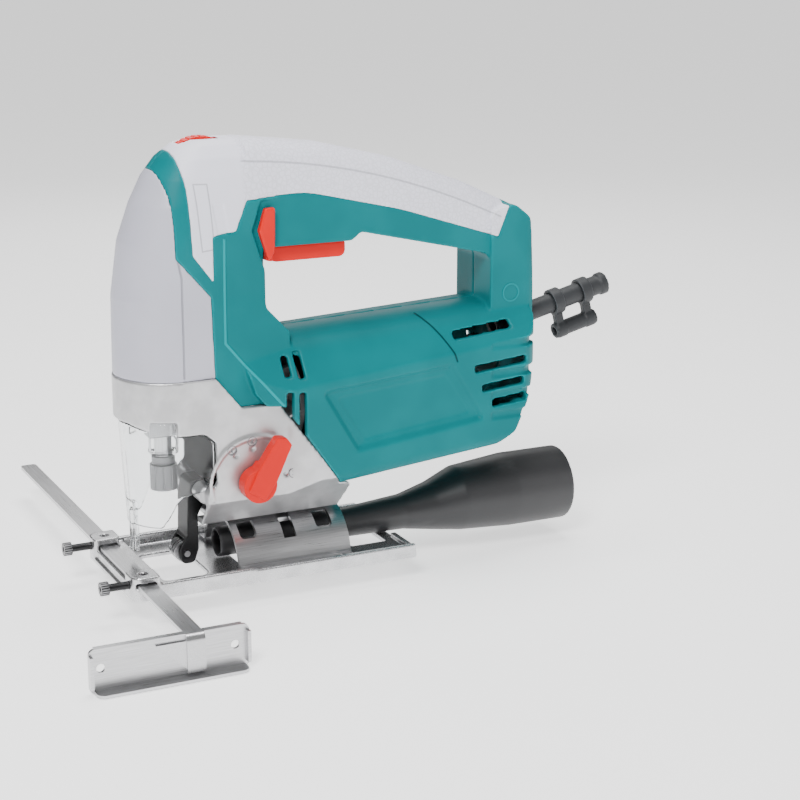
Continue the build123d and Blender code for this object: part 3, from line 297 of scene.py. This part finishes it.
def stripedMetal(name, colour, roughness, metallic, pitch, axis, dark=0.35):
    # laminations, wound wire or bars: fine dark lines at one pitch
    finish = Finish(name, colour, roughness, metallic)
    spot = finish.place()
    along = finish.axes(spot)["xyz".index(axis)]
    wave = (along * (2 * math.pi / pitch)).sine()
    ridge = wave.ramp(-0.8, 0.1)
    finish.feed("Base Color", finish.blend(ridge, tone(colour, dark), tone(colour, 1.0)))
    finish.feed("Roughness", finish.noise(spot, 1.0, 2.0) * 0.2 + (roughness - 0.1))
    finish.relief(ridge, 0.25, 0.8)
    return finish.material


def clearPlastic(name):
    finish = Finish(name, (0.97, 0.985, 0.99), 0.03, 0.0, IOR=1.36, Transmission_Weight=1.0)
    spot = finish.place()
    haze = finish.noise(spot, 0.12, 3.0)
    finish.feed("Roughness", haze.ramp(0.45, 0.8) * 0.03 + 0.01)
    finish.relief(finish.noise(spot, 0.06, 2.0), 0.06, 0.3)
    return finish.material


def circuitBoard(name, colour):
    finish = Finish(name, colour, 0.35)
    spot = finish.place()
    x, y, z = finish.axes(spot)
    track = (x * 2.2).sine().ramp(0.75, 0.85).most((z * 1.7).sine().ramp(0.85, 0.92))
    finish.feed("Base Color", finish.blend(track, tone(colour, 1.0), (0.45, 0.36, 0.12, 1)))
    finish.feed("Roughness", 0.45 - track * 0.2)
    return finish.material


seam = {"centre": (102.8, 88.0), "radius": 48.8, "low": 101.0, "high": 131.0, "front": 125.0,
        "side": 12.0}
gripGrain = {"crownZ": 220.8, "crownX": 25.0, "crownBend": 660.0, "lineDrop": 10.5, "frontX": 38.0,
             "rearX": 181.0, "cell": 0.42}
ridgeHighlightLines = [((27.5, 172.8), (26.2, 121.8)), ((26.2, 121.8), (52.8, 89.3))]
creaseShadeLines = [((2.6, 164.3), (4.0, 156.4)), ((4.0, 156.4), (3.6, 107.2))]
recessShadeLines = [((12.7, 200.9), (19.8, 200.5)), ((19.8, 200.5), (22.3, 168.9)),
               ((22.3, 168.9), (15.6, 168.4)), ((15.6, 168.4), (12.7, 200.9))]

finishes = {
    "tealPlastic": seamedPlastic("tealPlastic", (0.0, 0.168, 0.184), 0.42),
    "gripGrey": gripRubber("gripGrey", (0.80, 0.80, 0.90), 0.50),
    "noseGrey": creasedPlastic("noseGrey", (0.50, 0.50, 0.58), 0.38),
    "dieCast": castMetal("dieCast", (0.56, 0.56, 0.57), 0.36, 0.75),
    # dark finish for the raised selector marks: painted shade
    "shadedMarksCast": castMetal("shadedMarksCast", (0.20, 0.20, 0.21), 0.50, 0.5),
    "baseCast": castMetal("baseCast", (0.60, 0.60, 0.61), 0.28, 0.95, 0.05),
    "clearGuard": clearPlastic("clearGuard"),
    "sleeveRubber": mouldedPlastic("sleeveRubber", (0.020, 0.022, 0.025), 0.55, edgeHighlightLift=3.5),
    "redPlastic": mouldedPlastic("redPlastic", (0.72, 0.006, 0.003), 0.36, 0.02, 1.2, 0.9,
                                 Specular_IOR_Level=0.2),
    "blackPlastic": mouldedPlastic("blackPlastic", (0.026, 0.026, 0.028), 0.42, 0.04, edgeHighlightLift=3.0),
    "blackSteel": blackOxide("blackSteel", (0.010, 0.010, 0.011), 0.38),
    "steelAlongX": brushedSteel("steelAlongX", (0.60, 0.60, 0.61), 0.30, "x"),
    "steelAlongY": brushedSteel("steelAlongY", (0.60, 0.60, 0.61), 0.30, "y"),
    "steelAlongZ": brushedSteel("steelAlongZ", (0.74, 0.74, 0.75), 0.30, "z"),
    "springWire": blackOxide("springWire", (0.20, 0.20, 0.21), 0.32),
    "laminations": stripedMetal("laminations", (0.30, 0.30, 0.31), 0.45, 0.9, 1.0, "x"),
    "copperWire": stripedMetal("copperWire", (0.62, 0.22, 0.09), 0.30, 0.9, 0.7, "x", 0.45),
    "copperBars": stripedMetal("copperBars", (0.72, 0.36, 0.20), 0.28, 1.0, 2.4, "y", 0.2),
    "sinteredBronze": castMetal("sinteredBronze", (0.50, 0.33, 0.13), 0.45, 0.95, 0.08),
    "pressedCarbon": blackOxide("pressedCarbon", (0.018, 0.018, 0.018), 0.6),
    "circuitBoard": circuitBoard("circuitBoard", (0.01, 0.13, 0.05)),
}
print("stage: finishes", len(finishes))

nodeFinish = {
    "tealPlastic": ["left_housing", "right_housing"],
    "gripGrey": ["handle_grip"],
    "noseGrey": ["nose_cover"],
    "dieCast": ["gear_housing", "gear_plate", "cooling_fan"],
    "baseCast": ["base_plate"],
    "clearGuard": ["clear_guard"],
    "sleeveRubber": ["cord_sleeve", "key_holder"],
    "redPlastic": ["trigger", "selector_lever", "speed_dial"],
    "blackPlastic": ["cord_clamp", "dust_tube", "lock_button", "switch_body", "switch_button", "brush_holders"],
    "blackSteel": ["clamp_core", "clamp_collar", "base_bolt", "guide_screw_near", "guide_screw_far",
                   "housing_screws", "pendulum_fork"],
    "steelAlongX": ["bevel_shroud", "shroud_rivets", "guide_fence", "clamp_plate",
                    "armature_shaft", "pinion", "drive_gear", "gear_axle", "counterweight", "crank_pin",
                    "front_bearing", "rear_bearing"],
    "steelAlongY": ["guide_bar", "guide_roller", "roller_pin", "fork_pin", "selector_shaft", "trigger_pin",
                    "speed_dial_pin"],
    "steelAlongZ": ["plunger", "yoke"],
    "springWire": ["clamp_spring", "trigger_spring", "brush_springs"],
    "laminations": ["armature_core", "stator_core"],
    "copperWire": ["armature_windings", "field_coils"],
    "copperBars": ["commutator"],
    "sinteredBronze": ["plunger_bushings"],
    "pressedCarbon": ["carbon_brushes"],
    "circuitBoard": ["speed_board"],
}
bodyOf = {node: body for body, nodes in frame["record"]["behaviour"]["bodies"].items() for node in nodes}
for finishName, nodes in nodeFinish.items():
    for node in nodes:
        mesh = frame["nodes"][node].data
        mesh.materials.clear()
        mesh.materials.append(finishes[finishName])
print("stage: CAD nodes painted", sum(len(n) for n in nodeFinish.values()))


def deselect():
    if bpy.context.object and bpy.context.object.mode != "OBJECT":
        bpy.ops.object.mode_set(mode="OBJECT")
    bpy.ops.object.select_all(action="DESELECT")


def pick(piece):
    deselect()
    piece.select_set(True)
    bpy.context.view_layer.objects.active = piece


def applyModifier(piece, kind, **settings):
    pick(piece)
    modifier = piece.modifiers.new(kind.lower(), kind)
    for key, value in settings.items():
        setattr(modifier, key, value)
    bpy.ops.object.modifier_apply(modifier=modifier.name)


def bake(piece):
    # place, turn and scale go into the mesh
    pick(piece)
    bpy.ops.object.transform_apply(location=True, rotation=True, scale=True)


def dress(piece, finishName, body):
    piece.data.materials.clear()
    piece.data.materials.append(finishes[finishName])
    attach(piece, body)
    return piece


def softened(node, newName, grain, rounds, keep):
    # a moulded or cast copy of a CAD node with soft edges
    source = frame["nodes"][node]
    piece = bpy.data.objects.new(newName, source.data.copy())
    bpy.context.scene.collection.objects.link(piece)
    pick(piece)
    bpy.ops.object.mode_set(mode="EDIT")
    bpy.ops.mesh.select_all(action="SELECT")
    bpy.ops.mesh.remove_doubles(threshold=0.002 * mm)
    bpy.ops.object.mode_set(mode="OBJECT")
    applyModifier(piece, "REMESH", mode="VOXEL", voxel_size=grain * mm, adaptivity=0.0)
    applyModifier(piece, "SMOOTH", factor=0.5, iterations=rounds)
    if keep < 1:
        applyModifier(piece, "DECIMATE", ratio=keep)
    pick(piece)
    bpy.ops.object.shade_smooth()
    finishName = next(name for name, nodes in nodeFinish.items() if node in nodes)
    dress(piece, finishName, bodyOf[node])
    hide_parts(node)
    print("  ", newName, len(piece.data.polygons))
    return piece


softPieces = {
    # node: new name, voxel in mm, smoothing rounds, share of faces kept
    "left_housing": ("leftHousingMoulded", 0.75, 2, 0.5),
    "right_housing": ("rightHousingMoulded", 0.75, 2, 0.5),
    "handle_grip": ("handleGripMoulded", 0.6, 4, 0.6),
    "nose_cover": ("noseCoverMoulded", 0.6, 3, 0.6),
    "gear_housing": ("gearHousingCast", 0.75, 2, 0.6),
    "clear_guard": ("clearGuardMoulded", 0.6, 3, 0.7),
    "dust_tube": ("dustTubeMoulded", 0.9, 4, 0.8),
    "cord_sleeve": ("cordSleeveMoulded", 0.6, 2, 0.8),
    "key_holder": ("keyHolderMoulded", 0.45, 2, 0.8),
    "trigger": ("triggerMoulded", 0.5, 3, 0.7),
    "selector_lever": ("selectorLeverMoulded", 0.4, 3, 0.7),
    "pendulum_fork": ("pendulumForkCast", 0.4, 2, 0.7),
    "base_plate": ("basePlateCast", 0.55, 2, 0.5),
}
for node, (newName, grain, rounds, keep) in softPieces.items():
    softened(node, newName, grain, rounds, keep)
print("stage: moulded and cast pieces", len(softPieces))


def flatRing(newName, x, y, z, radius, width, height):
    # a raised ring on a face that looks to -Y
    deselect()
    bpy.ops.mesh.primitive_circle_add(vertices=40, radius=radius * mm, fill_type="NGON",
                                      location=(x * mm, y * mm, z * mm), rotation=(math.radians(90), 0, 0))
    ring = bpy.context.object
    ring.name = newName
    bpy.ops.object.mode_set(mode="EDIT")
    bpy.ops.mesh.select_all(action="SELECT")
    bpy.ops.mesh.inset(thickness=width * mm)
    bpy.ops.mesh.delete(type="FACE")
    bpy.ops.mesh.select_all(action="SELECT")
    bpy.ops.mesh.extrude_region_move(TRANSFORM_OT_translate={"value": (0, -height * mm, 0)})
    bpy.ops.mesh.select_all(action="SELECT")
    bpy.ops.mesh.normals_make_consistent(inside=False)
    bpy.ops.object.mode_set(mode="OBJECT")
    bake(ring)
    return ring


def figure(newName, text, x, y, z, size, height):
    # a raised digit on a face that looks to -Y
    deselect()
    bpy.ops.object.text_add(location=(x * mm, (y - height / 2) * mm, z * mm), rotation=(math.radians(90), 0, 0))
    piece = bpy.context.object
    piece.name = newName
    piece.data.body = text
    piece.data.size = size * mm
    piece.data.extrude = height / 2 * mm
    piece.data.align_x = "CENTER"
    piece.data.align_y = "CENTER"
    bpy.ops.object.convert(target="MESH")
    bake(piece)
    return piece


selectorMarks = {
    "centre": (38.5, 50.0), "reach": 21.2, "faceY": -27.3, "height": 0.6,
    "ring": 2.6, "ringWidth": 0.35, "figureSize": 3.6,
    "places": {"1": 123.0, "2": 92.0, "3": 5.0},
}
for text, angle in selectorMarks["places"].items():
    markX = selectorMarks["centre"][0] + selectorMarks["reach"] * math.cos(math.radians(angle))
    markZ = selectorMarks["centre"][1] + selectorMarks["reach"] * math.sin(math.radians(angle))
    ring = flatRing("selectorRing" + text, markX, selectorMarks["faceY"], markZ, selectorMarks["ring"],
                    selectorMarks["ringWidth"], selectorMarks["height"])
    digit = figure("selectorFigure" + text, text, markX, selectorMarks["faceY"], markZ,
                   selectorMarks["figureSize"], selectorMarks["height"])
    for piece in (ring, digit):
        # the raised marks take the dark finish as painted shade
        dress(piece, "shadedMarksCast", "housing")
print("stage: selector marks", len(selectorMarks["places"]))

columnRing = {"x": 188.3, "z": 132.1, "faceY": -19.9, "radius": 5.0, "width": 0.8, "height": 0.4}
ring = flatRing("columnRing", columnRing["x"], columnRing["faceY"], columnRing["z"], columnRing["radius"],
                columnRing["width"], columnRing["height"])
dress(ring, "tealPlastic", "housing")
print("stage: column ring")


stageSet = {
    "floorDrop": -12.6, "floorSize": 60.0, "floorGlow": 1.05,
    "eye": (-0.2872, -0.8692, 0.3353), "target": (0.1330, 0.0, 0.0748), "lens": 84.375,
}
deselect()
bpy.ops.mesh.primitive_plane_add(size=stageSet["floorSize"], location=(0, 0, stageSet["floorDrop"] * mm))
floor = bpy.context.object
floor.name = "floor"
bake(floor)
floorFinish = Finish("paleFloor", (0.9, 0.9, 0.9), 0.6, Emission_Color=(1, 1, 1, 1),
                     Emission_Strength=stageSet["floorGlow"])
floorSpot = floorFinish.place()
floorFinish.feed("Roughness", floorFinish.noise(floorSpot, 0.01, 2.0) * 0.1 + 0.55)
floor.data.materials.append(floorFinish.material)

world = bpy.data.worlds.new("studio")
bpy.context.scene.world = world
world.use_nodes = True
world.node_tree.nodes["Background"].inputs[0].default_value = (1.0, 1.0, 1.0, 1)
world.node_tree.nodes["Background"].inputs[1].default_value = 0.18

lamps = {
    # name: place, size in metres, watts
    "keyLight": ((-0.55, -0.75, 1.05), 0.45, 17.5),
    "topLight": ((0.15, 0.10, 1.15), 0.7, 11.5),
    "fillLight": ((1.0, -0.9, 0.45), 0.9, 4.0),
    "rimLight": ((0.45, 1.0, 0.7), 0.8, 3.0),
}
for lampName, (spot, size, watts) in lamps.items():
    lamp = bpy.data.lights.new(lampName, "AREA")
    lamp.shape = "DISK"
    lamp.size = size
    lamp.energy = watts
    lampObject = bpy.data.objects.new(lampName, lamp)
    bpy.context.scene.collection.objects.link(lampObject)
    lampObject.location = spot
    aim = Vector((0.07, 0, 0.1)) - Vector(spot)
    lampObject.rotation_euler = aim.to_track_quat("-Z", "Y").to_euler()

cameraData = bpy.data.cameras.new("camera")
cameraData.lens = stageSet["lens"]
cameraData.sensor_width = 36.0
cameraObject = bpy.data.objects.new("camera", cameraData)
bpy.context.scene.collection.objects.link(cameraObject)
cameraObject.location = stageSet["eye"]
view = Vector(stageSet["target"]) - Vector(stageSet["eye"])
cameraObject.rotation_euler = view.to_track_quat("-Z", "Y").to_euler()
bpy.context.scene.camera = cameraObject
print("stage: floor, light and camera")
